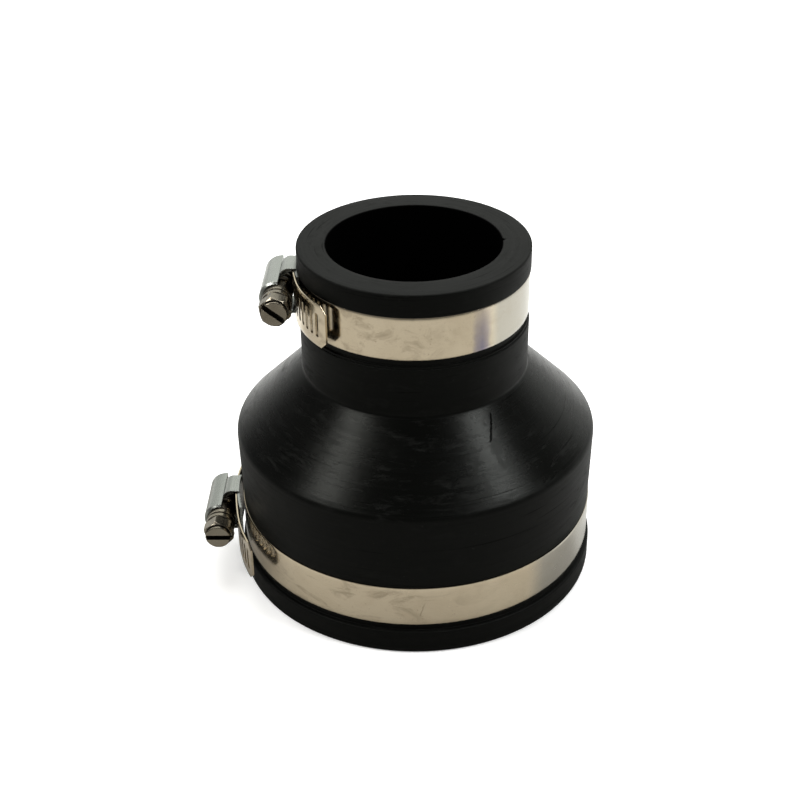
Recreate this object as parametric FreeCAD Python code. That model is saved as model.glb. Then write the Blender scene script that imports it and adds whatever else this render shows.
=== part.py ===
import FreeCAD, Part
import math
import os

# Flexible reducing pipe coupling: a moulded rubber sleeve that joins a
# 3 inch pipe (88.9 mm outside) to a 1 1/2 inch pipe (48.3 mm outside), with a
# worm-drive hose clamp round each end.
# Frame: millimetres, +Z up along the bore, origin at the centre of the face
# of the large end, which the coupling stands on. The two screw housings are
# on the -X side and the screw heads point to -Y.

Vec = FreeCAD.Vector
os.makedirs("parts", exist_ok=True)

# ---- pipes and sleeve ---------------------------------------------------
SMALL_PIPE_R = 48.3 / 2
LARGE_PIPE_R = 88.9 / 2
BORE_GAP = 0.05             # radial ease of each socket over its pipe
SMALL_BORE_R = SMALL_PIPE_R + BORE_GAP
LARGE_BORE_R = LARGE_PIPE_R + BORE_GAP
HEIGHT = 101.2              # overall length of the sleeve
TOP_RIM_R = 32.25           # rim above the small clamp
TOP_RIM_Z = 94.6            # underside of that rim
NECK_R = 32.15              # small socket below the clamp
NECK_TOP_Z = 79.8           # lower edge of the small clamp's seat
NECK_LIP_R = NECK_R - 0.30  # small step at the top of the neck
NECK_BASE_Z = 64.7          # crease between neck and cone
SHOULDER_R = 52.05          # largest radius of the cone
SHOULDER_Z = 45.0
BODY_FOOT_R = 51.55         # large socket just above its clamp
BODY_FOOT_Z = 22.25         # upper edge of the large clamp's seat
BASE_RIM_R = 52.55          # rim below the large clamp
BASE_RIM_Z = 7.35           # top of that rim
UPPER_SEAT_R = 31.30        # floor of the small clamp's seat
LOWER_SEAT_R = 51.15        # floor of the large clamp's seat
INNER_CONE_LOW_Z = 41.0     # inside, the cone starts here
INNER_CONE_HIGH_Z = 61.2    # and ends here at the small bore

# V-shaped moulding nick in the top edge of the small bore
NICK_HALF_W = 0.75
NICK_DEPTH = 1.1            # radially into the wall
NICK_DROP = 3.0             # down from the top face
NICK_OVERCUT = 1.0          # cutter's reach into the bore and above the top
NICK_TURN = 2.0             # degrees from +X

# ---- clamps -------------------------------------------------------------
# Each clamp is drawn with its screw over +X, the screw head to +Y and the
# middle of the band at z = 0. "Front" is the head end, "back" the other.
BAND_W = 12.7
HALF_BAND = BAND_W / 2
BAND_T = 0.60
SEAT_EASE = 0.05            # radial ease of the hoop in its seat
LAYER_GAP = 0.05            # between hoop, base plate and outer layer
SADDLE_T = 0.70             # base plate thickness
LEAD = 2.54                 # screw lead and slot pitch

# Band
SPLINE_STEPS = 12           # spans in the ramp and in each offset curve
RAMP_GAP = 0.5              # degrees from the ramp's end to the inner end
SLOT_W = 1.30               # slot, along the band
SLOT_L = 7.0                # slot, across the band
SLOT_CORNER_R = 0.45
SLOT_OVERCUT = 0.35         # cutter beyond each face of the band
FIRST_SLOT_MARGIN = 1.2     # degrees from the inner end's angle
LAST_SLOT_MARGIN = 1.6      # mm from the tail's tip
TIP_CLIP = 1.9              # size of the clipped corners
TIP_OVERCUT = 0.6           # corner cutter beyond the tip and the edge
TIP_CUT_INSET = 0.8         # corner cutter starts this far inside the band
TIP_CUT_DEPTH = 2.4

# Screw cover
COVER_IN_R = 4.45
COVER_OUT_R = 5.15
COVER_BACK = -7.8           # cover from here
COVER_FRONT = 9.5           # to here, along the screw
COVER_DROP = 0.25           # it reaches this far from the axis to the hoop
FRONT_BEVEL = 1.45          # lengths of the bevels
BACK_BEVEL = 0.5
FRONT_LIP_T = 0.8
BACK_LIP_T = 0.7
LIP_OVERLAP = 0.2           # lips run this far into the cover wall
LEG_INSET = 0.3             # legs are shorter than the tabs at each end
LEG_GAP = 0.12              # between the legs and the outer layer

# Base plate and its side tabs
TAB_BACK = -3.7             # tabs from here
TAB_FRONT = 4.6             # to here, along the screw
TAB_T = 0.47
TAB_SAG = 0.35              # rise of the tab's arch over its chord
TAB_IN_Z = HALF_BAND + 0.10
TAB_OUT_Z = TAB_IN_Z + TAB_T
PLATE_BACK = TAB_BACK - 1.0
PLATE_HALF_W = HALF_BAND + 0.05
WIDE_HALF_W = HALF_BAND + 0.35  # plate between the tabs
WIDE_INSET = 0.15           # wide part is shorter than the tabs at each end
TRIM_MARGIN = 3.0           # trimming cylinder beyond each edge of the band

# Screw
THREAD_R = 3.90             # crest radius of the worm
ROOT_R = 3.35               # root radius of the worm
MESH_DEPTH = 0.35           # how far the crest dips into the slots
ROOT_EMBED = 0.25           # thread section sunk into the root
ROOT_HALF_W = 0.62          # thread section, half width inside the root
CREST_HALF_W = 0.30         # and at the crest
THREAD_MARGIN = 0.75        # least distance of thread ends from worm ends
JOURNAL_R = 2.9             # plain ends of the screw, inside the lips
LIP_R = JOURNAL_R + 0.10
WORM_BACK_INSET = 1.0       # worm ends inside the ends of the cover
WORM_FRONT_INSET = 1.2
COLLAR_R = 4.25
GROOVE_R = 3.80
BARREL_R = 4.20             # between groove and head
HEAD_END = 18.5             # end face of the screw head
HEAD_L = 4.9
HEX_AF = 7.94               # 5/16 inch across flats
HEX_CORNER_R = HEX_AF / math.sqrt(3)
HEAD_DISC_R = 3.58          # raised round end of the head
DRIVER_SLOT_W = 1.50        # screwdriver slot
DRIVER_SLOT_D = 1.80
DRIVER_SLOT_L = 12.0        # cutter length, right across the head
DRIVER_SLOT_OVERCUT = 0.1


def clamp_sizes(seat_r, lift, **own_sizes):
    """A clamp's sizes with the radii of its layers, stacked outwards from
    the seat: hoop, base plate, outer layer of the band, screw."""
    hoop_in = seat_r + SEAT_EASE
    plate_in = hoop_in + BAND_T + LAYER_GAP + lift
    plate_out = plate_in + SADDLE_T
    strip_in = plate_out + LAYER_GAP
    strip_out = strip_in + BAND_T
    return dict(own_sizes, hoop_in=hoop_in, plate_in=plate_in, plate_out=plate_out,
                strip_in=strip_in, strip_out=strip_out,
                axis_x=strip_out - MESH_DEPTH + THREAD_R)


# lift: extra radial gap under the base plate; height: z of the band's middle
# turn: clamp turned round Z, degrees; shift: housing and screw moved along +Y
# start: angle of the band's inner end; ramp: angle of the climb between layers
# leave: angle where the tail leaves the hoop
# tail: (angle in degrees, stand-off from the outer layer)
# tongue: base plate's reach past the front of the cover
# hex_turn, slot_turn: head and driver slot, degrees from +Z to the outside
CLAMPS = {
    "upper": clamp_sizes(
        seat_r=UPPER_SEAT_R, lift=0.15, height=88.15, turn=178.5, shift=0.0,
        start=-25.5, ramp=9.0, leave=13.0,
        tail=[(18.0, 0.14), (23.0, 0.36), (29.0, 0.60), (35.0, 0.86),
              (41.0, 1.16), (46.0, 1.42), (50.0, 1.62)],
        tongue=-0.6, hex_turn=11.0, slot_turn=51.6),
    "lower": clamp_sizes(
        seat_r=LOWER_SEAT_R, lift=1.10, height=15.80, turn=179.5, shift=2.0,
        start=-14.5, ramp=9.0, leave=8.0,
        tail=[(12.0, 0.10), (15.5, 0.36), (19.0, 0.72), (22.5, 1.14),
              (26.0, 1.60), (29.5, 2.02), (33.0, 2.45), (35.0, 2.70)],
        tongue=3.0, hex_turn=8.5, slot_turn=90.0),
}


# ---- drawing helpers ----------------------------------------------------
def polar(radius, degrees):
    angle = math.radians(degrees)
    return Vec(radius * math.cos(angle), radius * math.sin(angle), 0)


def line(start, end):
    return Part.LineSegment(start, end).toShape()


def arc(radius, start, end):
    """Arc round Z between two angles in degrees."""
    middle = 0.5 * (start + end)
    return Part.Arc(polar(radius, start), polar(radius, middle), polar(radius, end)).toShape()


def polygon_face(points):
    return Part.Face(Part.makePolygon(points + [points[0]]))


def revolve(face):
    return face.revolve(Vec(0, 0, 0), Vec(0, 0, 1), 360)


def turn_z(shape, degrees):
    shape.rotate(Vec(0, 0, 0), Vec(0, 0, 1), degrees)


def y_cylinder(radius, start, length, axis_x):
    return Part.makeCylinder(radius, length, Vec(axis_x, start, 0), Vec(0, 1, 0))


def rounded_profile(corners):
    """Closed wire through (r, z, fillet) corners, in the XZ plane."""
    count = len(corners)
    points = [Vec(r, 0, z) for r, z, _ in corners]
    joints = []             # (arrival, departure, middle of fillet or None)
    for i in range(count):
        point = points[i]
        fillet = corners[i][2]
        if fillet <= 0:
            joints.append((point, point, None))
            continue
        back = points[i - 1] - point
        ahead = points[(i + 1) % count] - point
        back.normalize()
        ahead.normalize()
        half_angle = 0.5 * back.getAngle(ahead)
        cut = fillet / math.tan(half_angle)
        bisector = back + ahead
        bisector.normalize()
        centre = point + bisector * (fillet / math.sin(half_angle))
        joints.append((point + back * cut, point + ahead * cut, centre - bisector * fillet))
    edges = []
    for i in range(count):
        arrival, departure, middle = joints[i]
        if middle is not None:
            edges.append(Part.Arc(arrival, middle, departure).toShape())
        following = joints[(i + 1) % count][0]
        if (following - departure).Length > 1e-6:
            edges.append(line(departure, following))
    return Part.Wire(edges)


# ---- the rubber sleeve --------------------------------------------------
def make_sleeve():
    # (radius, z, fillet): up the outside, then down the bore
    profile = [
        (LARGE_BORE_R, 0.0, 0.0),
        (BASE_RIM_R, 0.0, 0.9),
        (BASE_RIM_R, BASE_RIM_Z, 0.6),
        (LOWER_SEAT_R, BASE_RIM_Z, 0.3),
        (LOWER_SEAT_R, BODY_FOOT_Z, 0.1),
        (BODY_FOOT_R, BODY_FOOT_Z, 0.15),
        (SHOULDER_R, SHOULDER_Z, 2.6),
        (NECK_R, NECK_BASE_Z, 1.2),
        (NECK_R + 0.05, NECK_TOP_Z - 0.75, 0.35),
        (NECK_LIP_R, NECK_TOP_Z - 0.65, 0.0),
        (NECK_LIP_R, NECK_TOP_Z - 0.05, 0.12),
        (UPPER_SEAT_R, NECK_TOP_Z, 0.15),
        (UPPER_SEAT_R, TOP_RIM_Z, 0.2),
        (TOP_RIM_R, TOP_RIM_Z, 0.3),
        (TOP_RIM_R, HEIGHT, 0.55),
        (SMALL_BORE_R, HEIGHT, 0.35),
        (SMALL_BORE_R, INNER_CONE_HIGH_Z, 2.0),
        (LARGE_BORE_R, INNER_CONE_LOW_Z, 3.0),
    ]
    body = revolve(Part.Face(rounded_profile(profile)))
    mouth_r = SMALL_BORE_R - NICK_OVERCUT
    nick_z = HEIGHT - NICK_DROP
    nick = polygon_face([Vec(mouth_r, -NICK_HALF_W, nick_z),
                         Vec(SMALL_BORE_R + NICK_DEPTH, 0, nick_z),
                         Vec(mouth_r, NICK_HALF_W, nick_z)])
    nick = nick.extrude(Vec(0, 0, NICK_DROP + NICK_OVERCUT))
    turn_z(nick, NICK_TURN)
    return body.cut(nick)


# ---- clamp band ---------------------------------------------------------
def spline(points, start_tangent, end_tangent):
    curve = Part.BSplineCurve()
    curve.interpolate(Points=points, InitialTangent=start_tangent, FinalTangent=end_tangent)
    return curve


def end_of(curve):
    return curve.value(curve.LastParameter)


def end_tangent_of(curve):
    return curve.tangent(curve.LastParameter)[0]


def outward(tangent):
    """Normal on the outside of a curve that runs anticlockwise."""
    return Vec(tangent.y, -tangent.x, 0).normalize()


def band_offset(curve, start_tangent, end_tangent):
    """The curve moved outwards by the band thickness."""
    first, last = curve.FirstParameter, curve.LastParameter
    points = []
    for i in range(SPLINE_STEPS + 1):
        u = first + (last - first) * i / SPLINE_STEPS
        points.append(curve.value(u) + outward(curve.tangent(u)[0]) * BAND_T)
    return spline(points, start_tangent, end_tangent)


def ramp_curves(clamp, ramp_start, ramp_end):
    """Inside and outside of the climb from the inner to the outer layer."""
    climb = clamp["strip_in"] - clamp["hoop_in"]
    points = []
    for i in range(SPLINE_STEPS + 1):
        u = i / SPLINE_STEPS
        blend = u * u * u * (10 - 15 * u + 6 * u * u)
        points.append(polar(clamp["hoop_in"] + climb * blend,
                            ramp_start + (ramp_end - ramp_start) * u))
    tangents = polar(1, ramp_start + 90), polar(1, ramp_end + 90)
    inside = spline(points, *tangents)
    return inside, band_offset(inside, *tangents)


def tail_curves(clamp, leave):
    """Inside and outside of the free tail, standing off the hoop."""
    strip_in = clamp["strip_in"]
    points = [polar(strip_in, leave)]
    points += [polar(strip_in + stand, 360.0 + angle) for angle, stand in clamp["tail"]]
    last_span = points[-1] - points[-2]
    tangent = polar(1, leave + 90)
    inside = spline(points, tangent, last_span.normalize())
    return inside, band_offset(inside, tangent, end_tangent_of(inside))


def slot_cutters(clamp):
    """Cutters for the slots in the outer layer that the worm drives."""
    strip_in = clamp["strip_in"]
    pitch = math.degrees(LEAD / (0.5 * (strip_in + clamp["strip_out"])))
    tip_angle = clamp["tail"][-1][0] - math.degrees(LAST_SLOT_MARGIN / strip_in)
    last_slot = math.floor(tip_angle / pitch)
    first_slot = math.ceil((clamp["start"] + FIRST_SLOT_MARGIN) / pitch)
    stations = [(clamp["leave"], 0.0)] + clamp["tail"]
    cutters = []
    for i in range(first_slot, last_slot + 1):
        angle = i * pitch
        stand = 0.0
        for (angle0, stand0), (angle1, stand1) in zip(stations, stations[1:]):
            if angle0 <= angle <= angle1:
                stand = stand0 + (stand1 - stand0) * (angle - angle0) / (angle1 - angle0)
        corner = Vec(strip_in + stand - SLOT_OVERCUT, -0.5 * SLOT_W, -0.5 * SLOT_L)
        cutter = Part.makeBox(BAND_T + 2 * SLOT_OVERCUT, SLOT_W, SLOT_L, corner)
        radial_edges = [edge for edge in cutter.Edges
                        if abs(edge.Vertexes[0].X - edge.Vertexes[-1].X) > 0.5]
        cutter = cutter.makeFillet(SLOT_CORNER_R, radial_edges)
        turn_z(cutter, angle)
        cutters.append(cutter)
    return Part.makeCompound(cutters)


def tip_cutter(tail_in, side):
    """Clips the corner of the tail's tip on the +Z or -Z side."""
    tip = end_of(tail_in)
    along = end_tangent_of(tail_in)
    normal = outward(along)
    edge_z = side * HALF_BAND
    clip_z = edge_z - side * TIP_CLIP
    over_z = edge_z + side * TIP_OVERCUT
    # (distance past the tip, z)
    outline = [(-TIP_CLIP, edge_z), (0, clip_z), (TIP_OVERCUT, clip_z),
               (TIP_OVERCUT, over_z), (-TIP_CLIP, over_z)]
    points = [tip + along * past + Vec(0, 0, z) - normal * TIP_CUT_INSET
              for past, z in outline]
    return polygon_face(points).extrude(normal * TIP_CUT_DEPTH)


def make_band(clamp):
    start = clamp["start"]
    ramp_end = 360.0 + start - RAMP_GAP
    ramp_start = ramp_end - clamp["ramp"]
    leave = 360.0 + clamp["leave"]
    middle = 0.5 * (start + ramp_start)
    hoop_in, strip_in = clamp["hoop_in"], clamp["strip_in"]
    ramp_in, ramp_out = ramp_curves(clamp, ramp_start, ramp_end)
    tail_in, tail_out = tail_curves(clamp, leave)

    def chain(hoop_r, ramp, strip_r, tail):
        return [arc(hoop_r, start, middle), arc(hoop_r, middle, ramp_start), ramp.toShape(),
                arc(strip_r, ramp_end, leave), tail.toShape()]

    edges = chain(hoop_in, ramp_in, strip_in, tail_in)
    edges.append(line(end_of(tail_in), end_of(tail_out)))
    edges += chain(hoop_in + BAND_T, ramp_out, strip_in + BAND_T, tail_out)
    edges.append(line(polar(hoop_in, start), polar(hoop_in + BAND_T, start)))
    face = Part.Face(Part.Wire(Part.__sortEdges__(edges)))
    if face.normalAt(0, 0).z < 0:
        face.reverse()
    band = face.extrude(Vec(0, 0, BAND_W))
    if band.Volume < 0:
        band.reverse()
    band.translate(Vec(0, 0, -HALF_BAND))

    band = band.cut(slot_cutters(clamp))
    for side in (1, -1):
        band = band.cut(tip_cutter(tail_in, side))
    return band


# ---- clamp housing ------------------------------------------------------
def open_tube(inner_r, outer_r, back, front, axis_x):
    """Tube round the screw, cut open on the side facing the hoop."""
    length = front - back
    outer = y_cylinder(outer_r, back, length, axis_x)
    inner = y_cylinder(inner_r, back - 1, length + 2, axis_x)
    keep = Part.makeBox(2 * outer_r, length + 2, 2 * outer_r + 2,
                        Vec(axis_x - COVER_DROP, back - 1, -outer_r - 1))
    return outer.cut(inner).common(keep)


def bevel_cutter(axis_x, start, length, start_r, end_r):
    """Everything outside a cone round the screw, over a short length."""
    cone = Part.makeCone(start_r, end_r, length, Vec(axis_x, start, 0), Vec(0, 1, 0))
    return Part.makeBox(20, length, 20, Vec(axis_x - 10, start, -10)).cut(cone)


def make_leg(clamp, side):
    """Leg from the cover down inside the tab to the edge of the band."""
    axis_x = clamp["axis_x"]
    foot = clamp["strip_out"] + LEG_GAP - axis_x
    back = TAB_BACK + clamp["shift"] + LEG_INSET
    front = TAB_FRONT + clamp["shift"] - LEG_INSET
    # (x, z) from the screw's axis
    outline = [(0.60, 4.12), (0.60, 4.62), (-0.50, 4.62), (-1.15, 5.12),
               (-2.02, 5.98), (-2.70, 6.30), (foot, 6.30), (foot, 5.68),
               (-2.85, 5.66), (-1.50, 4.85), (-0.68, 4.12)]
    points = [Vec(axis_x + x, back, side * z) for x, z in outline]
    return polygon_face(points).extrude(Vec(0, front - back, 0))


def make_housing(clamp):
    axis_x = clamp["axis_x"]
    back, front = COVER_BACK + clamp["shift"], COVER_FRONT + clamp["shift"]
    cover = open_tube(COVER_IN_R, COVER_OUT_R, back, front, axis_x)
    cover = cover.cut(bevel_cutter(axis_x, front - FRONT_BEVEL, FRONT_BEVEL,
                                   COVER_OUT_R + 0.9, COVER_OUT_R - 0.55))
    cover = cover.cut(bevel_cutter(axis_x, back, BACK_BEVEL,
                                   COVER_OUT_R - 0.25, COVER_OUT_R + 0.25))
    # turned-in lips that hold the screw at both ends
    lip_out_r = COVER_IN_R + LIP_OVERLAP
    lips = [open_tube(LIP_R, lip_out_r, front - FRONT_LIP_T, front, axis_x),
            open_tube(LIP_R, lip_out_r, back, back + BACK_LIP_T, axis_x)]
    legs = [make_leg(clamp, side) for side in (1, -1)]
    return cover.multiFuse(lips + legs).removeSplitter()


# ---- clamp base plate ---------------------------------------------------
def curved_plate(clamp, inner_r, back, front, half_width):
    """Plate round Z; its ends are lengths along its outer face."""
    outer_r = clamp["plate_out"]
    start, end = math.degrees(back / outer_r), math.degrees(front / outer_r)
    edges = [arc(outer_r, start, end), line(polar(outer_r, end), polar(inner_r, end)),
             arc(inner_r, end, start), line(polar(inner_r, start), polar(outer_r, start))]
    face = Part.Face(Part.Wire(edges))
    face.translate(Vec(0, 0, -half_width))
    return face.extrude(Vec(0, 0, 2 * half_width))


def make_tab(clamp, side):
    """Wall beside the edge of the band that arches over to meet the cut edge
    of the cover."""
    axis_x = clamp["axis_x"]
    back = TAB_BACK + clamp["shift"]
    # arch drawn in x and z from the screw's axis
    arch_top = Vec(-0.30, 0, COVER_OUT_R)
    arch_foot = Vec(-2.45, 0, TAB_OUT_Z)
    chord = arch_top - arch_foot
    normal = Vec(-chord.z, 0, chord.x).normalize()
    radius = chord.Length ** 2 / (8 * TAB_SAG) + 0.5 * TAB_SAG
    arch_mid = (arch_top + arch_foot) * 0.5 + normal * TAB_SAG
    centre = arch_mid - normal * radius
    outer = [arch_top, arch_mid, arch_foot]
    inner = [centre + (point - centre) * ((radius - TAB_T) / radius) for point in outer]
    root_x = clamp["plate_out"] - 1.6 - axis_x
    top_x = clamp["strip_out"] + 0.35 - axis_x

    def placed(*points):
        return [Vec(axis_x + point.x, back, side * point.z) for point in points]

    root_in = Vec(root_x, 0, TAB_IN_Z)
    root_out = Vec(root_x, 0, TAB_OUT_Z - 0.12)
    wall_top = Vec(top_x, 0, TAB_OUT_Z)
    edges = [line(*placed(root_in, inner[2])),
             Part.Arc(*placed(*reversed(inner))).toShape(),
             line(*placed(inner[0], arch_top)),
             Part.Arc(*placed(*outer)).toShape(),
             line(*placed(arch_foot, wall_top)),
             line(*placed(wall_top, root_out)),
             line(*placed(root_out, root_in))]
    tab = Part.Face(Part.Wire(edges)).extrude(Vec(0, TAB_FRONT - TAB_BACK, 0))
    if tab.Volume < 0:
        tab.reverse()
    return tab


def make_saddle(clamp):
    shift = clamp["shift"]
    # inner limit of the tabs, clear of the rim at the small end
    root_r = max(clamp["plate_in"] + 0.05, TOP_RIM_R + 0.10)
    saddle = curved_plate(clamp, clamp["plate_in"], PLATE_BACK + shift,
                          COVER_FRONT + shift + clamp["tongue"], PLATE_HALF_W)
    wide = curved_plate(clamp, root_r + 0.02, TAB_BACK + shift + WIDE_INSET,
                        TAB_FRONT + shift - WIDE_INSET, WIDE_HALF_W)
    trim = Part.makeCylinder(root_r, BAND_W + 2 * TRIM_MARGIN,
                             Vec(0, 0, -HALF_BAND - TRIM_MARGIN))
    saddle = saddle.fuse(wide)
    for side in (1, -1):
        saddle = saddle.fuse(make_tab(clamp, side).cut(trim))
    return saddle.removeSplitter()


# ---- clamp screw, drawn along +Z from its back end to the head ----------
def make_shaft(back, front, end, worm_back, worm_front):
    head_base = end - HEAD_L
    # (radius, z)
    profile = [
        (0, back - 0.5), (2.5, back - 0.5), (JOURNAL_R, back - 0.1),
        (JOURNAL_R, worm_back - 0.1), (ROOT_R, worm_back + 0.35),
        (ROOT_R, worm_front - 0.45), (JOURNAL_R, worm_front),
        (JOURNAL_R, front + 0.15), (3.95, front + 0.15), (COLLAR_R, front + 0.45),
        (COLLAR_R, front + 1.65), (GROOVE_R, front + 1.80), (GROOVE_R, front + 2.15),
        (BARREL_R, front + 2.30), (BARREL_R, end - 5.55), (3.90, end - 5.30),
        (3.45, end - 5.30), (3.45, head_base), (0, head_base)]
    return revolve(polygon_face([Vec(r, 0, z) for r, z in profile]))


def make_thread(worm_back, worm_front):
    """Right-hand thread whose crest is on the hoop side at z = 0."""
    start = -LEAD * math.floor(-(worm_back + THREAD_MARGIN) / LEAD)
    turns = math.floor((worm_front - THREAD_MARGIN - start) / LEAD)
    helix = Part.makeHelix(LEAD, turns * LEAD, ROOT_R)
    base_r = ROOT_R - ROOT_EMBED
    section = Part.makePolygon([Vec(base_r, 0, -ROOT_HALF_W), Vec(THREAD_R, 0, -CREST_HALF_W),
                                Vec(THREAD_R, 0, CREST_HALF_W), Vec(base_r, 0, ROOT_HALF_W),
                                Vec(base_r, 0, -ROOT_HALF_W)])
    thread = Part.Wire(helix.Edges).makePipeShell([section], True, True)
    thread.translate(Vec(0, 0, start))
    return thread


def make_head(end):
    """Hexagon chamfered at both ends, with a raised round end in a shallow
    groove."""
    base = end - HEAD_L
    corners = [polar(HEX_CORNER_R, 60 * i) + Vec(0, 0, base) for i in range(6)]
    hexagon = polygon_face(corners).extrude(Vec(0, 0, HEAD_L))
    chamfer_r = HEX_CORNER_R + 0.05
    # (radius, z)
    envelope = [(0, base - 0.01), (3.9, base - 0.01), (chamfer_r, base + 0.38),
                (chamfer_r, end - 1.95), (3.88, end - 1.10), (3.82, end - 1.40),
                (HEAD_DISC_R, end - 1.40), (HEAD_DISC_R, end - 0.22),
                (HEAD_DISC_R - 0.2, end - 0.04), (0, end)]
    return hexagon.common(revolve(polygon_face([Vec(r, 0, z) for r, z in envelope])))


def make_screw(clamp):
    shift = clamp["shift"]
    back, front, end = COVER_BACK + shift, COVER_FRONT + shift, HEAD_END + shift
    worm_back, worm_front = back + WORM_BACK_INSET, front - WORM_FRONT_INSET
    shaft = make_shaft(back, front, end, worm_back, worm_front)
    thread = make_thread(worm_back, worm_front)
    head = make_head(end)
    slot = Part.makeBox(DRIVER_SLOT_L, DRIVER_SLOT_W, DRIVER_SLOT_D + DRIVER_SLOT_OVERCUT,
                        Vec(-0.5 * DRIVER_SLOT_L, -0.5 * DRIVER_SLOT_W, end - DRIVER_SLOT_D))
    turn_z(head, 90 + clamp["hex_turn"])
    turn_z(slot, 90 + clamp["slot_turn"])
    screw = shaft.fuse(thread).fuse(head).cut(slot)
    # lay it along +Y, with its own +X towards the hoop
    screw.transformShape(FreeCAD.Matrix(-1, 0, 0, clamp["axis_x"],
                                        0, 0, 1, 0,
                                        0, 1, 0, 0,
                                        0, 0, 0, 1))
    return screw


# ---- build and export ---------------------------------------------------
def place(shape, clamp):
    placed = shape.copy()
    turn_z(placed, clamp["turn"])
    placed.translate(Vec(0, 0, clamp["height"]))
    return placed


def export(name, shape):
    solids = shape.Solids
    piece = solids[0] if len(solids) == 1 else Part.makeCompound(solids)
    piece.exportStep("parts/" + name + ".step")


CLAMP_PIECES = {"band": make_band, "housing": make_housing,
                "saddle": make_saddle, "screw": make_screw}

export("coupling_sleeve", make_sleeve())
for clamp_name, clamp in CLAMPS.items():
    for piece_name, make_piece in CLAMP_PIECES.items():
        export(clamp_name + "_" + piece_name, place(make_piece(clamp), clamp))
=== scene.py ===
"""Rubber coupling sleeve with two slotted clamp bands, on a pale studio floor.

The sleeve stands on z = 0 round the Z axis, its wide end down and its narrow end up. The
screws of both clamps are on the -X side, and the camera looks from -Y. Dimensions of the
pieces are in millimetres, all else is in metres.
"""
import bpy
import bmesh
import math
import random
from mathutils import Vector, Matrix, noise

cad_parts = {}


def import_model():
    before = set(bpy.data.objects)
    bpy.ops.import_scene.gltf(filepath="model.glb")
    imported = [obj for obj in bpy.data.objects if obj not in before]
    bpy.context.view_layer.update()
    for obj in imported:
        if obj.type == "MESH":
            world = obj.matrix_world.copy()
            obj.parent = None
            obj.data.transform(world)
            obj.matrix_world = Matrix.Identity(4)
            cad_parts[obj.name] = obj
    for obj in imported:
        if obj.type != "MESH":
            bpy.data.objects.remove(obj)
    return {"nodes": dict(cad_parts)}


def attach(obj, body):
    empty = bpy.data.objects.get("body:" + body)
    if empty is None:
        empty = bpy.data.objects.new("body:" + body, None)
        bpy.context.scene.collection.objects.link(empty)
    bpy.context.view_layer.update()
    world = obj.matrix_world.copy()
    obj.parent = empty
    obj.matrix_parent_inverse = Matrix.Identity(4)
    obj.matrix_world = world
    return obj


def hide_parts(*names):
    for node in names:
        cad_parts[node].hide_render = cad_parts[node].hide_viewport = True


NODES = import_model()["nodes"]
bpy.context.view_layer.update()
random.seed(7)
MM = 0.001


# ================================================================= meshes ===
def mesh_object(name, verts, faces):
    mesh = bpy.data.meshes.new(name)
    mesh.from_pydata(verts, [], faces)
    mesh.validate()
    piece = bpy.data.objects.new(name, mesh)
    bpy.context.scene.collection.objects.link(piece)
    mesh.update()
    return piece


def shade_smooth(mesh):
    mesh.polygons.foreach_set("use_smooth", [True] * len(mesh.polygons))


def sharpen(piece, degrees):
    """Smooth shading that keeps edges sharper than the angle."""
    mesh = piece.data
    shade_smooth(mesh)
    work = bmesh.new()
    work.from_mesh(mesh)
    limit = math.radians(degrees)
    flags = [len(edge.link_faces) != 2 or edge.calc_face_angle(0.0) > limit
             for edge in work.edges]
    work.free()
    sharp = (mesh.attributes.get("sharp_edge")
             or mesh.attributes.new("sharp_edge", "BOOLEAN", "EDGE"))
    sharp.data.foreach_set("value", flags)
    mesh.update()


def solid_object(name, verts, faces, sharp_angle):
    """Closed mesh with its normals outwards and its sharp edges marked."""
    piece = mesh_object(name, verts, faces)
    shade_smooth(piece.data)
    work = bmesh.new()
    work.from_mesh(piece.data)
    bmesh.ops.recalc_face_normals(work, faces=work.faces)
    work.to_mesh(piece.data)
    work.free()
    sharpen(piece, sharp_angle)
    return piece


# ================================================================= sleeve ===
UPPER_SEAT_R, LOWER_SEAT_R = 31.30, 51.15     # where the bands sit
WIDE_BORE_R, BORE_R = 44.50, 24.20
SLEEVE_CORNERS = [      # radius, z, fillet: up the outside, then down the bore
    (WIDE_BORE_R, 0.0, 0.0), (52.55, 0.0, 0.9), (52.55, 7.35, 0.6),
    (LOWER_SEAT_R, 7.35, 0.3), (LOWER_SEAT_R, 22.25, 0.1), (51.55, 22.25, 0.15),
    (52.05, 45.0, 2.6), (32.15, 64.7, 1.2), (32.20, 79.05, 0.35),
    (31.85, 79.15, 0.0), (31.85, 79.75, 0.12), (UPPER_SEAT_R, 79.8, 0.15),
    (UPPER_SEAT_R, 94.6, 0.2), (32.25, 94.6, 0.3), (32.25, 101.2, 0.55),
    (BORE_R, 101.2, 0.35), (BORE_R, 61.2, 2.0), (WIDE_BORE_R, 41.0, 3.0)]
SLEEVE_SEGMENTS = 576
ARC_STEPS, STRAIGHT_STEP = 5, 1.6
UNEVEN_DEPTH = 0.05
NICK_ANGLE, NICK_HALF_WIDTH, NICK_DEPTH = math.radians(2.0), 0.75, 1.0


def corner_arc(before, corner, after, fillet):
    """Points of the arc that rounds a corner of an outline."""
    back = (before - corner).normalized()
    ahead = (after - corner).normalized()
    half = 0.5 * back.angle(ahead)
    reach = fillet / math.tan(half)
    centre = corner + (back + ahead).normalized() * (fillet / math.sin(half))
    first = corner + back * reach - centre
    last = corner + ahead * reach - centre
    sweep = first.angle(last)
    arc = []
    for i in range(ARC_STEPS + 1):
        t = i / ARC_STEPS
        blend = math.sin((1 - t) * sweep) * first + math.sin(t * sweep) * last
        arc.append(centre + blend / math.sin(sweep))
    return arc


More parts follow.
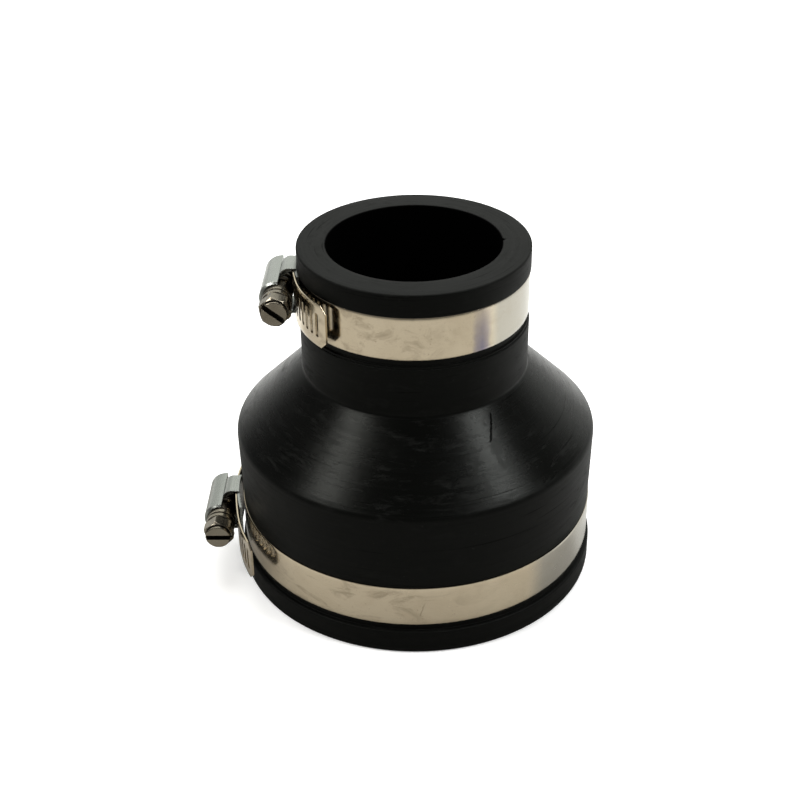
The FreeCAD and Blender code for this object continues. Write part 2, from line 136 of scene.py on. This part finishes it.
def fillet_profile(corners):
    """Closed outline with rounded corners and evenly cut straight runs."""
    points = [Vector((radius, z)) for radius, z, _ in corners]
    count = len(points)
    arcs = []
    for i, (_, _, fillet) in enumerate(corners):
        if fillet > 0:
            arcs.append(corner_arc(points[i - 1], points[i], points[(i + 1) % count], fillet))
        else:
            arcs.append([points[i]])
    outline = []
    for i in range(count):
        outline += arcs[i]
        start, end = arcs[i][-1], arcs[(i + 1) % count][0]
        cuts = int((end - start).length // STRAIGHT_STEP)
        outline += [start.lerp(end, j / (cuts + 1)) for j in range(1, cuts + 1)]
    return outline


def sleeve_shift(radius, z, angle):
    """How far a point of the sleeve moves away from the axis."""
    if 23.0 < z < 79.0 and radius > 30.0 and (radius >= 32.0 or z >= 64.0):
        # soft unevenness of moulded rubber, always towards the axis
        spot = Vector((math.cos(angle) * 3.0, math.sin(angle) * 3.0, z * 0.06))
        return -UNEVEN_DEPTH * (0.5 + 0.5 * noise.noise(spot))
    if radius < 24.9 and z > 98.2:
        # nick in the top edge of the narrow bore, at +X
        turn = (angle - NICK_ANGLE + math.pi) % (2 * math.pi) - math.pi
        away = abs(turn) * BORE_R
        if away < NICK_HALF_WIDTH:
            return NICK_DEPTH * (1 - away / NICK_HALF_WIDTH)
    return 0.0


def make_sleeve():
    profile = fillet_profile(SLEEVE_CORNERS)
    count = len(profile)
    verts, faces = [], []
    for j in range(SLEEVE_SEGMENTS):
        angle = 2 * math.pi * j / SLEEVE_SEGMENTS
        k = (j + 1) % SLEEVE_SEGMENTS
        for i, (radius, z) in enumerate(profile):
            moved = radius + sleeve_shift(radius, z, angle)
            verts.append((moved * math.cos(angle) * MM, moved * math.sin(angle) * MM, z * MM))
            m = (i + 1) % count
            faces.append((j * count + i, k * count + i, k * count + m, j * count + m))
    return solid_object("sleeve_rubber_body", verts, faces, sharp_angle=38)


# ============================================================ clamp bands ===
BAND_W, BAND_T, SADDLE_T = 12.7, 0.60, 0.70
PLAY = 0.05                             # gap between parts that lie on each other
SLOT_PITCH, SLOT_W, SLOT_L, SLOT_CORNER_R = 2.54, 1.30, 7.0, 0.42
CORNER_SHARES = (0.0, 0.134, 0.5, 1.0)  # columns across a slot corner
TIP_CUT = 1.9                           # chamfer of the free end's corners
EDGE = 0.16                             # rounding of the long edges

# Angles are in degrees, turned by azimuth in the end. The strip begins at start, goes
# once round, climbs over its own beginning within ramp, and lifts off after leave.
# lift: extra height of the overlap. step: column spacing.
# tail: angle and height above the overlap of the free end.
BANDS = (
    dict(name="upper", seat=UPPER_SEAT_R, z=88.15, azimuth=178.5, lift=0.15,
         start=-25.5, ramp=9.0, leave=13.0, step=0.75,
         tail=[(18.0, 0.14), (23.0, 0.36), (29.0, 0.60), (35.0, 0.86), (41.0, 1.16),
               (46.0, 1.42), (50.0, 1.62)]),
    dict(name="lower", seat=LOWER_SEAT_R, z=15.80, azimuth=179.5, lift=1.10,
         start=-14.5, ramp=9.0, leave=8.0, step=0.5,
         tail=[(12.0, 0.10), (15.5, 0.36), (19.0, 0.72), (22.5, 1.14), (26.0, 1.60),
               (29.5, 2.02), (33.0, 2.45), (35.0, 2.70)]))


def hermite(table, x):
    """Smooth curve through (x, y) pairs, flat at the first."""
    last = len(table) - 1
    slopes = [0.0]
    for i in range(1, last + 1):
        (x0, y0), (x1, y1) = table[i - 1], table[min(i + 1, last)]
        slopes.append((y1 - y0) / (x1 - x0))
    for i in range(last):
        (x0, y0), (x1, y1) = table[i], table[i + 1]
        if x <= x1 or i == last - 1:
            h = x1 - x0
            t = (x - x0) / h
            return ((2 * t**3 - 3 * t**2 + 1) * y0 + (t**3 - 2 * t**2 + t) * h * slopes[i]
                    + (-2 * t**3 + 3 * t**2) * y1 + (t**3 - t**2) * h * slopes[i + 1])


class BandShape:
    """Course, slots and cross-sections of one strip, by angle in degrees."""

    def __init__(self, spec):
        self.hoop_in = spec["seat"] + PLAY
        self.strip_in = self.hoop_in + BAND_T + PLAY + spec["lift"] + SADDLE_T + PLAY
        self.start = spec["start"]
        self.ramp_end = 360.0 + self.start - 0.5
        self.ramp_start = self.ramp_end - spec["ramp"]
        self.leave = 360.0 + spec["leave"]
        self.tail = [(self.leave, 0.0)] + [(360.0 + a, rise) for a, rise in spec["tail"]]
        self.tip = self.tail[-1][0]
        self.tip_cut = math.degrees(TIP_CUT / self.strip_in)

        middle_r = self.strip_in + 0.5 * BAND_T
        pitch = math.degrees(SLOT_PITCH / middle_r)
        half_slot = math.degrees(0.5 * SLOT_W / middle_r)
        self.slot_corner = math.degrees(SLOT_CORNER_R / middle_r)
        tip_margin = math.degrees(1.6 / self.strip_in)
        first = math.ceil((self.start + 1.2) / pitch)
        last = math.floor((spec["tail"][-1][0] - tip_margin) / pitch)
        self.slots = [(360 + j * pitch - half_slot, 360 + j * pitch + half_slot)
                      for j in range(first, last + 1)]

    def point(self, angle):
        """Point of the inner face in the XY plane."""
        radius = self.strip_in
        if angle <= self.ramp_start:
            radius = self.hoop_in
        elif angle < self.ramp_end:
            u = (angle - self.ramp_start) / (self.ramp_end - self.ramp_start)
            climb = self.strip_in - self.hoop_in
            radius = self.hoop_in + climb * u**3 * (10 - 15 * u + 6 * u * u)
        elif angle > self.leave:
            radius += hermite(self.tail, angle)
        turn = math.radians(angle)
        return Vector((radius * math.cos(turn), radius * math.sin(turn)))

    def normal(self, angle):
        reach = 0.02
        ahead = self.point(min(angle + reach, self.tip))
        along = (ahead - self.point(angle - reach)).normalized()
        return Vector((along.y, -along.x))

    def slot_inset(self, angle):
        """How far the rounded slot end stands back here, or None off the slots."""
        for s0, s1 in self.slots:
            if s0 - 1e-6 <= angle <= s1 + 1e-6:
                x = min(angle - s0, s1 - angle) / self.slot_corner
                return SLOT_CORNER_R * (1 - math.sqrt(max(0.0, 1 - (1 - min(x, 1.0)) ** 2)))
        return None

    def columns(self, step):
        """Angles of the cross-sections: exact at slots and tip, even elsewhere."""
        exact = []
        for s0, s1 in self.slots:
            for share in CORNER_SHARES:
                exact += [s0 + share * self.slot_corner, s1 - share * self.slot_corner]
            exact.append(0.5 * (s0 + s1))
        exact += [self.tip - self.tip_cut, self.tip - 0.5 * self.tip_cut]
        even = []
        angle = self.start
        while angle < self.tip:
            even.append(round(angle, 4))
            angle += step
        kept = [a for a in even if all(abs(a - b) > 0.16 for b in exact)
                and not any(s0 - 0.05 < a < s1 + 0.05 for s0, s1 in self.slots)]
        return sorted({*kept, *exact, self.start, self.tip})

    def section(self, angle):
        """(z, share of thickness) round the strip: outer face up, inner face down."""
        chamfer = max(0.0, (angle - (self.tip - self.tip_cut)) / self.tip_cut) * TIP_CUT
        half = 0.5 * BAND_W - chamfer
        half_slot = 0.5 * SLOT_L
        slot_end = half_slot - (self.slot_inset(angle) or 0.0)
        between = 0.5 * (half + half_slot) + (0.0 if half < half_slot + 1.2 else 0.2)
        heights = [-half + EDGE, -between, -slot_end, slot_end, between, half - EDGE]
        shoulder = half - 0.3 * EDGE
        return ([(z, 1.0) for z in heights]
                + [(shoulder, 0.86), (half, 0.5), (shoulder, 0.14)]
                + [(z, 0.0) for z in reversed(heights)]
                + [(-shoulder, 0.14), (-half, 0.5), (-shoulder, 0.86)])


# rows of a section that bound the slots
OUT_LOW, OUT_HIGH, IN_HIGH, IN_LOW = 2, 3, 11, 12


def make_band(spec):
    shape = BandShape(spec)
    columns = shape.columns(spec["step"])
    rows = len(shape.section(shape.start))
    turn = math.radians(spec["azimuth"])
    cos, sin = math.cos(turn), math.sin(turn)
    verts = []
    for angle in columns:
        point, normal = shape.point(angle), shape.normal(angle)
        for z, share in shape.section(angle):
            q = point + normal * (share * BAND_T)
            verts.append(((q.x * cos - q.y * sin) * MM, (q.x * sin + q.y * cos) * MM,
                          (z + spec["z"]) * MM))

    def quad(*corners):
        return tuple(i * rows + row % rows for i, row in corners)

    faces = []
    for i in range(len(columns) - 1):
        k = i + 1
        hole = shape.slot_inset(0.5 * (columns[i] + columns[k])) is not None
        for row in range(rows):
            if not (hole and row in (OUT_LOW, IN_HIGH)):
                faces.append(quad((i, row), (k, row), (k, row + 1), (i, row + 1)))
        if hole:    # lower and upper end walls of the slot
            faces.append(quad((i, OUT_LOW), (i, IN_LOW), (k, IN_LOW), (k, OUT_LOW)))
            faces.append(quad((i, OUT_HIGH), (k, OUT_HIGH), (k, IN_HIGH), (i, IN_HIGH)))
    for s0, s1 in shape.slots:      # side walls of the slot
        side_rows = (OUT_LOW, OUT_HIGH, IN_HIGH, IN_LOW)
        for side, order in ((s0, side_rows), (s1, side_rows[::-1])):
            i = columns.index(side)
            faces.append(quad(*((i, row) for row in order)))
    # the two cut ends of the strip
    faces.append(tuple(range(rows)))
    faces.append(tuple(reversed(range(len(verts) - rows, len(verts)))))
    return solid_object(spec["name"] + "_band_strip", verts, faces, sharp_angle=40)


# =========================================================== shader nodes ===
class Shader:
    """Builds the node tree of a material or world. Values are numbers or sockets."""

    def __init__(self, owner, output="ShaderNodeOutputMaterial",
                 surface="ShaderNodeBsdfPrincipled"):
        owner.use_nodes = True
        self.owner = owner
        self.tree = owner.node_tree
        self.tree.nodes.clear()
        end = self.node(output)
        self.surface = self.node(surface)
        self.put(end.inputs["Surface"], self.surface.outputs[0])
        self.coordinates = self.node("ShaderNodeTexCoord").outputs

    def node(self, kind, **settings):
        made = self.tree.nodes.new(kind)
        for key, value in settings.items():
            setattr(made, key, value)
        return made

    def put(self, socket, value):
        if isinstance(value, bpy.types.NodeSocket):
            self.tree.links.new(value, socket)
        else:
            socket.default_value = value

    def set(self, name, value):
        """Sets an input of the surface shader."""
        self.put(self.surface.inputs[name], value)

    def math(self, operation, a, b=0.0, c=0.0, clamp=False):
        made = self.node("ShaderNodeMath", operation=operation, use_clamp=clamp)
        for socket, value in zip(made.inputs, (a, b, c)):
            self.put(socket, value)
        return made.outputs[0]

    def plus(self, a, b, clamp=False):
        return self.math("ADD", a, b, clamp=clamp)

    def minus(self, a, b):
        return self.math("SUBTRACT", a, b)

    def times(self, a, b, clamp=False):
        return self.math("MULTIPLY", a, b, clamp=clamp)

    def spread(self, value, amount):
        """Noise centred on zero and scaled to an amount."""
        return self.times(self.minus(value, 0.5), amount)

    def without(self, value, mask, share, clamp=False):
        """Value lowered by a share where the mask is on."""
        return self.times(value, self.minus(1.0, self.times(mask, share)), clamp)

    def vector_math(self, operation, a, b=None):
        made = self.node("ShaderNodeVectorMath", operation=operation)
        self.put(made.inputs[0], a)
        if b is not None:
            self.put(made.inputs[1], b)
        return made.outputs["Value" if operation == "DOT_PRODUCT" else "Vector"]

    def noise(self, scale, detail=2, rough=0.5, distortion=0.0, vector=None):
        made = self.node("ShaderNodeTexNoise")
        self.put(made.inputs["Scale"], scale)
        self.put(made.inputs["Detail"], detail)
        self.put(made.inputs["Roughness"], rough)
        self.put(made.inputs["Distortion"], distortion)
        self.put(made.inputs["Vector"], vector or self.coordinates["Object"])
        return made.outputs["Fac"]

    def streaks(self, place, scales, detail, rough=0.5, distortion=0.0):
        """Noise with its own scale along each of the three coordinates."""
        made = self.node("ShaderNodeCombineXYZ")
        for socket, value, scale in zip(made.inputs, place, scales):
            self.put(socket, self.times(value, scale))
        return self.noise(1.0, detail, rough, distortion, made.outputs[0])

    def ramp(self, value, *stops):
        """Colour ramp from (position, grey or RGB) stops."""
        made = self.node("ShaderNodeValToRGB")
        elements = made.color_ramp.elements
        while len(elements) < len(stops):
            elements.new(0.5)
        for element, (position, shade) in zip(elements, stops):
            element.position = position
            element.color = (*shade, 1) if isinstance(shade, tuple) else (shade,) * 3 + (1,)
        self.put(made.inputs[0], value)
        return made.outputs[0]

    def mix(self, factor, a, b):
        made = self.node("ShaderNodeMix", data_type="RGBA")
        self.put(made.inputs["Factor"], factor)
        for socket, value in ((made.inputs[6], a), (made.inputs[7], b)):
            self.put(socket, (*value, 1) if isinstance(value, tuple) else value)
        return made.outputs[2]

    def tint(self, colour, mask, amount, over):
        """Lays a second colour over the first by an amount of the mask."""
        return self.mix(self.times(mask, amount), colour, over)

    def bump(self, height, strength, distance, base=None):
        made = self.node("ShaderNodeBump")
        self.put(made.inputs["Strength"], strength)
        self.put(made.inputs["Distance"], distance)
        self.put(made.inputs["Height"], height)
        if base is not None:
            self.put(made.inputs["Normal"], base)
        return made.outputs[0]

    def xyz(self):
        made = self.node("ShaderNodeSeparateXYZ")
        self.put(made.inputs[0], self.coordinates["Object"])
        return made.outputs

    def polar(self):
        """Angle round Z in turns (0 at +X, -0.25 at the front), radius and z."""
        x, y, z = self.xyz()
        angle = self.math("DIVIDE", self.math("ARCTAN2", y, x), 2 * math.pi)
        square = self.plus(self.times(x, x), self.times(y, y))
        return angle, self.math("SQRT", square), z


# ============================================================== materials ===
TO_DM = 10.0        # metres to decimetres, which suit the 0 to 1 range of a ramp


def cone_cut(m, angle, z):
    """Mask of one dark, slightly ragged cut down the right front of the cone."""
    run = m.math("DIVIDE", m.minus(z, 0.0576), 0.0054)     # 0 at its foot, 1 at its top
    line = m.plus(m.times(run, 6.0 / 360.0), -59.0 / 360.0)
    off = m.minus(angle, line)
    off = m.plus(off, m.spread(m.noise(scale=700), amount=0.0035))
    off = m.math("DIVIDE", m.math("ABSOLUTE", off), 0.0016)
    ends = m.ramp(run, (0.0, 0.0), (0.12, 1.0), (0.80, 1.0), (1.0, 0.0))
    return m.times(m.ramp(off, (0.55, 1.0), (1.0, 0.0)), ends)


def rubber_material():
    m = Shader(bpy.data.materials.new("moulded_rubber"))
    place = angle, radius, z = m.polar()
    # fine moulding grain, pores and broad unevenness
    grain = m.noise(scale=5200, detail=3, rough=0.6)
    pores = m.noise(scale=1500, detail=4, rough=0.65)
    broad = m.noise(scale=60, detail=4, rough=0.55)
    patch = m.noise(scale=26, detail=5, rough=0.62, distortion=0.8)
    # rings, scuffs, hairlines and wiped streaks that run round the sleeve
    rings = m.streaks(place, (5.0, 900.0, 900.0), detail=3, rough=0.6)
    scuff = m.streaks(place, (30.0, 420.0, 420.0), detail=5, rough=0.7, distortion=0.4)
    scuff = m.ramp(scuff, (0.55, 0.0), (0.68, 1.0))
    hair = m.streaks(place, (9.0, 1900.0, 1900.0), detail=2, distortion=0.2)
    hair = m.ramp(hair, (0.66, 0.0), (0.72, 1.0))
    wipe = m.streaks(place, (46.0, 150.0, 110.0), detail=3, distortion=0.7)
    wipe = m.ramp(wipe, (0.56, 0.0), (0.74, 1.0))
    # the wiped streaks are strong at the right front only
    away = m.math("ABSOLUTE", m.plus(angle, 52.0 / 360.0))
    wipe = m.times(wipe, m.ramp(m.times(away, 10.0), (0.25, 1.0), (0.75, 0.08)))
    dust = m.ramp(m.noise(scale=900), (0.70, 0.0), (0.78, 1.0))
    cut = cone_cut(m, angle, z)
    # the cone is glossier, the walls and the end face satin; the narrow bore is darkened as
    # painted shade
    cone = m.times(
        m.ramp(m.times(z, TO_DM), (0.435, 0.0), (0.465, 1.0), (0.64, 1.0), (0.66, 0.0)),
        m.ramp(m.times(radius, TO_DM), (0.30, 0.0), (0.315, 1.0)))
    bore = m.ramp(m.times(radius, TO_DM), (0.2425, 1.0), (0.2455, 0.0))

    colour = m.tint((0.0008, 0.0009, 0.0007), broad, amount=0.6, over=(0.0018, 0.0020, 0.0016))
    colour = m.tint(colour, scuff, amount=0.20, over=(0.020, 0.0205, 0.019))
    colour = m.tint(colour, dust, amount=0.18, over=(0.040, 0.040, 0.037))
    # painted shade: the narrow bore is laid darker than the rubber round it
    colour = m.mix(bore, colour, (0.0006, 0.0006, 0.0006))
    colour = m.mix(cut, colour, (0.0003, 0.0003, 0.0003))
    m.set("Base Color", colour)

    rough = m.plus(m.times(cone, -0.29), 0.56)
    rough = m.plus(rough, m.spread(broad, amount=0.12))
    rough = m.plus(rough, m.spread(patch, amount=0.14))
    rough = m.plus(rough, m.times(scuff, 0.14))
    rough = m.plus(rough, m.times(m.times(wipe, cone), 0.12))
    rough = m.plus(rough, m.spread(rings, amount=0.12), clamp=True)
    m.set("Roughness", rough)

    m.set("Specular Tint", (0.97, 1.0, 0.94, 1))
    gloss = m.plus(0.09, m.spread(patch, amount=0.03))
    gloss = m.without(gloss, hair, share=0.6)
    gloss = m.without(gloss, cut, share=0.85)
    # painted shade: the gloss inside the narrow bore is dimmed too
    m.set("Specular IOR Level", m.without(gloss, bore, share=0.9, clamp=True))

    fine = m.plus(m.times(grain, 0.5), m.times(pores, 0.5))
    normal = m.bump(fine, strength=0.40, distance=0.00006)
    normal = m.bump(rings, strength=0.30, distance=0.00008, base=normal)
    waves = m.noise(scale=45, rough=0.4)
    normal = m.bump(waves, strength=0.20, distance=0.0003, base=normal)
    normal = m.bump(patch, strength=0.20, distance=0.0005, base=normal)
    normal = m.bump(m.minus(1.0, cut), strength=1.0, distance=0.00025, base=normal)
    m.set("Normal", normal)
    return m.owner


def slanted_mark(m, angle, z):
    """Mask of a thin slanted mark at the front, in millimetres on the lower band."""
    along = m.times(m.plus(angle, 89.0 / 360.0), 2 * math.pi * 51.8)
    height = m.times(m.minus(z, 0.0125), 1000.0)
    # the two slopes add up to the slant of the mark
    off = m.minus(along, m.times(height, -0.12))
    off = m.minus(off, m.times(height, 0.42))
    off = m.plus(off, m.spread(m.noise(scale=900), amount=0.35))
    mark = m.ramp(m.math("ABSOLUTE", off), (0.10, 1.0), (0.24, 0.0))
    ends = m.ramp(m.times(height, 0.2), (0.0, 0.0), (0.04, 1.0), (0.75, 0.7), (1.0, 0.0))
    return m.times(mark, ends)


def band_marks(m, colour, place):
    """Lays the tints, stains, painted reflections and painted shade of the bands over the plain
    steel.
    """
    angle, _, z = place
    # painted reflection: the right side of the bands is laid darker and greyer, for the dimmer
    # surroundings they mirror there
    right = m.ramp(m.plus(angle, 0.5), (0.352, 0.0), (0.372, 1.0), (0.62, 1.0), (0.70, 0.0))
    colour = m.tint(colour, right, amount=0.85, over=(0.37, 0.358, 0.318))

    # painted reflection: a bluish streak down the upper band at the right front, stronger below
    upper = m.ramp(m.times(z, TO_DM), (0.45, 0.0), (0.55, 1.0))
    away = m.math("ABSOLUTE", m.plus(angle, 56.0 / 360.0))
    away = m.plus(away, m.spread(m.noise(scale=260), amount=0.010))
    streak = m.ramp(m.times(away, 20.0), (0.0, 1.0), (0.17, 0.75), (0.32, 0.0))
    # 0 at the lower edge of the upper band, 1 at its upper edge
    across = m.times(m.minus(z, 0.0818), 78.74)
    low = m.ramp(across, (0.05, 1.0), (0.55, 0.75), (1.0, 0.25))
    painted_blue_reflection = m.times(m.times(streak, low), upper)
    colour = m.tint(colour, painted_blue_reflection, amount=0.85, over=(0.185, 0.175, 0.27))

    # brown stains, strongest at the left front, and small specks
    stain = m.streaks(place, (34.0, 100.0, 240.0), detail=4, rough=0.65, distortion=0.9)
    stain = m.ramp(stain, (0.50, 0.0), (0.66, 1.0))
    region = m.ramp(m.plus(angle, 0.5), (0.0, 0.35), (0.14, 1.0), (0.24, 0.9), (0.30, 0.25))
    colour = m.tint(colour, m.times(stain, region), amount=0.55, over=(0.28, 0.225, 0.155))
    speck = m.ramp(m.noise(scale=2100), (0.70, 0.0), (0.74, 1.0))
    colour = m.tint(colour, speck, amount=0.55, over=(0.20, 0.13, 0.075))
    mark = m.times(slanted_mark(m, angle, z), m.minus(1.0, upper))
    colour = m.tint(colour, mark, amount=0.50, over=(0.22, 0.18, 0.13))

    # painted shade: faces turned towards the axis are darkened, for the shade between the strip
    # and the hoop
    geometry = m.node("ShaderNodeNewGeometry").outputs
    flat = m.vector_math("MULTIPLY", geometry["Position"], (1, 1, 0))
    outwards = m.vector_math("NORMALIZE", flat)
    facing = m.vector_math("DOT_PRODUCT", outwards, geometry["True Normal"])
    inner = m.ramp(m.math("MULTIPLY_ADD", facing, 0.5, 0.5), (0.30, 1.0), (0.45, 0.0))
    return m.tint(colour, inner, amount=0.92, over=(0.055, 0.046, 0.034))


def steel_material(name, base, dark, rough, brush, smudge, shade_reach, ring=False):
    """Brushed steel; ring steel is brushed round Z, other steel along Y.

    brush and smudge are strengths; the reach of the painted shade and grime in crevices is
    given in metres.
    """
    m = Shader(bpy.data.materials.new(name))
    if ring:
        place = m.polar()
        line_scales, scratch_scales = (14.0, 200.0, 5200.0), (60.0, 200.0, 1500.0)
    else:
        place = m.xyz()
        line_scales, scratch_scales = (3800.0, 160.0, 3800.0), (900.0, 500.0, 900.0)
    lines = m.streaks(place, line_scales, detail=3, rough=0.6)
    scratch = m.streaks(place, scratch_scales, detail=4, rough=0.7, distortion=0.6)
    scratch = m.ramp(scratch, (0.62, 0.0), (0.69, 1.0))
    blot = m.noise(scale=150, detail=4, rough=0.6)
    cloud = m.noise(scale=70, detail=4, rough=0.6, distortion=0.9)
    cloud = m.ramp(cloud, (0.42, 0.0), (0.66, 1.0))

    colour = m.tint(base, cloud, amount=smudge, over=dark)
    colour = m.tint(colour, lines, amount=0.25, over=dark)
    colour = m.tint(colour, scratch, amount=0.22, over=tuple(0.55 * q for q in dark))
    if ring:
        colour = band_marks(m, colour, place)
    # painted shade in crevices, with some grime: darker where the ambient occlusion is low
    occlusion = m.node("ShaderNodeAmbientOcclusion", samples=6)
    m.put(occlusion.inputs["Distance"], shade_reach)
    crevice_shade = m.ramp(occlusion.outputs["AO"], (0.30, 1.0), (0.85, 0.0))
    colour = m.tint(colour, crevice_shade, amount=0.90, over=tuple(0.10 * q for q in dark))
    m.set("Base Color", colour)
    m.set("Metallic", 1.0)

    rough = m.plus(rough, m.spread(lines, amount=0.22 * brush))
    rough = m.plus(rough, m.times(cloud, 0.08 * smudge))
    rough = m.plus(rough, m.spread(blot, amount=0.08), clamp=True)
    m.set("Roughness", m.plus(rough, m.times(scratch, 0.10), clamp=True))

    normal = None
    if not ring:    # softens the hard CAD edges
        bevel = m.node("ShaderNodeBevel", samples=4)
        m.put(bevel.inputs["Radius"], 0.00014)
        normal = bevel.outputs[0]
    normal = m.bump(lines, strength=0.10 * brush, distance=0.00003, base=normal)
    m.set("Normal", m.bump(blot, strength=0.06, distance=0.00025, base=normal))
    return m.owner


rubber = rubber_material()
band_steel = steel_material(
    "band_stainless", base=(0.665, 0.575, 0.425), dark=(0.54, 0.455, 0.325),
    rough=0.17, brush=0.6, smudge=0.5, shade_reach=0.003, ring=True)
cover_steel = steel_material(
    "cover_stainless", base=(0.305, 0.318, 0.296), dark=(0.235, 0.245, 0.225),
    rough=0.27, brush=0.7, smudge=0.5, shade_reach=0.0015)
screw_steel = steel_material(
    "screw_stainless", base=(0.255, 0.228, 0.178), dark=(0.115, 0.100, 0.076),
    rough=0.22, brush=1.0, smudge=0.7, shade_reach=0.0030)


# ================================================================= pieces ===
def dress(piece, material):
    piece.data.materials.clear()
    piece.data.materials.append(material)


def install(piece, material, rides, replaces):
    """Dresses a new piece, hangs it on its body's empty and hides the CAD part it replaces."""
    dress(piece, material)
    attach(piece, rides)
    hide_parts(replaces)


install(make_sleeve(), rubber, "sleeve", "coupling_sleeve")
for band in BANDS:
    side = band["name"]
    install(make_band(band), band_steel, side + "_hoop", side + "_band")

# the CAD parts of both clamps keep their meshes
for band in BANDS:
    for part, steel in (("housing", cover_steel), ("saddle", cover_steel),
                        ("screw", screw_steel)):
        cad_part = NODES[band["name"] + "_" + part]
        dress(cad_part, steel)
        sharpen(cad_part, 30)


# ================================================================== stage ===
def make_floor(half_width=6.0, drop=0.00005):
    """Pale floor. The object mirrors it dimmer in front and brighter behind."""
    w = half_width
    floor = mesh_object("studio_floor", [(-w, -w, 0), (w, -w, 0), (w, w, 0), (-w, w, 0)],
                        [(0, 1, 2, 3)])
    floor.location.z = -drop
    m = Shader(bpy.data.materials.new("pale_floor"))
    seen = m.tint((0.86, 0.86, 0.855), m.noise(scale=3.0), amount=0.3, over=(0.83, 0.83, 0.825))
    # ragged border between the two shades, from the left back to the right front
    x, y, _ = m.xyz()
    depth = m.plus(m.times(x, 0.5), y)
    depth = m.plus(depth, m.spread(m.noise(scale=14.0, detail=3, rough=0.6), amount=0.10))
    depth = m.plus(m.times(depth, 2.0), 0.5, clamp=True)
    mirrored = m.ramp(depth, (0.535, (0.44, 0.433, 0.415)), (0.60, (0.80, 0.80, 0.78)))
    camera_ray = m.node("ShaderNodeLightPath").outputs["Is Camera Ray"]
    m.set("Base Color", m.mix(camera_ray, mirrored, seen))
    m.set("Emission Color", (1.0, 1.0, 0.995, 1))
    m.set("Emission Strength", m.times(camera_ray, 0.38))
    m.set("Roughness", 0.75)
    m.set("Specular IOR Level", 0.1)
    floor.data.materials.append(m.owner)


def area_light(name, place, target, size, power, colour=(1, 1, 1)):
    light = bpy.data.lights.new(name, "AREA")
    light.shape = "RECTANGLE"
    light.size, light.size_y = size
    light.energy = power
    light.color = colour
    lamp = bpy.data.objects.new(name, light)
    bpy.context.scene.collection.objects.link(lamp)
    lamp.location = place
    lamp.rotation_mode = "QUATERNION"
    lamp.rotation_quaternion = (Vector(target) - Vector(place)).to_track_quat("-Z", "Y")


def make_world():
    """Grey surroundings, bright towards the back; the camera sees an even grey."""
    world = bpy.data.worlds.new("studio")
    bpy.context.scene.world = world
    m = Shader(world, "ShaderNodeOutputWorld", "ShaderNodeBackground")
    back = m.vector_math("DOT_PRODUCT", m.coordinates["Generated"], (0.22, 1.0, 0.0))
    glow = m.ramp(m.math("MULTIPLY_ADD", back, 0.5, 0.5), (0.15, (0.17, 0.17, 0.168)),
                  (0.72, (0.26, 0.26, 0.257)), (0.90, (0.98, 1.0, 0.955)))
    camera_ray = m.node("ShaderNodeLightPath").outputs["Is Camera Ray"]
    m.set("Color", m.mix(camera_ray, glow, (0.80, 0.80, 0.80)))
    m.set("Strength", 1.25)


def make_camera(place, down, yaw, roll, lens):
    """Camera that looks along +Y, tilted down; angles are in degrees."""
    down, yaw, roll = math.radians(down), math.radians(yaw), math.radians(roll)
    ahead = Vector((math.sin(yaw) * math.cos(down), math.cos(yaw) * math.cos(down),
                    -math.sin(down)))
    level = ahead.cross(Vector((0, 0, 1))).normalized()
    upright = level.cross(ahead)
    right = level * math.cos(roll) + upright * math.sin(roll)
    up = -level * math.sin(roll) + upright * math.cos(roll)
    data = bpy.data.cameras.new("camera")
    camera = bpy.data.objects.new("camera", data)
    bpy.context.scene.collection.objects.link(camera)
    turn = Matrix((right, up, -ahead)).transposed()
    camera.matrix_world = Matrix.Translation(place) @ turn.to_4x4()
    data.lens = lens
    data.sensor_width = 36.0
    data.clip_start = 0.01
    bpy.context.scene.camera = camera


make_floor()
area_light("softbox_left", place=(-0.62, -0.26, 0.78), target=(0, 0, 0.05),
           size=(0.24, 0.42), power=4.2, colour=(1.0, 0.985, 0.96))
area_light("softbox_right", place=(0.62, -0.26, 0.78), target=(0, 0, 0.05),
           size=(0.19, 0.42), power=4.9, colour=(0.98, 0.99, 1.0))
area_light("top_soft", place=(0.0, 0.5, 1.3), target=(0, 0, 0), size=(1.2, 0.8), power=16.0)
make_world()
make_camera(place=(0.0, -0.34765, 0.26438), down=31.61, yaw=-0.72, roll=-0.81, lens=63.0)
bpy.context.scene.view_settings.view_transform = "Standard"
bpy.context.scene.view_settings.look = "None"
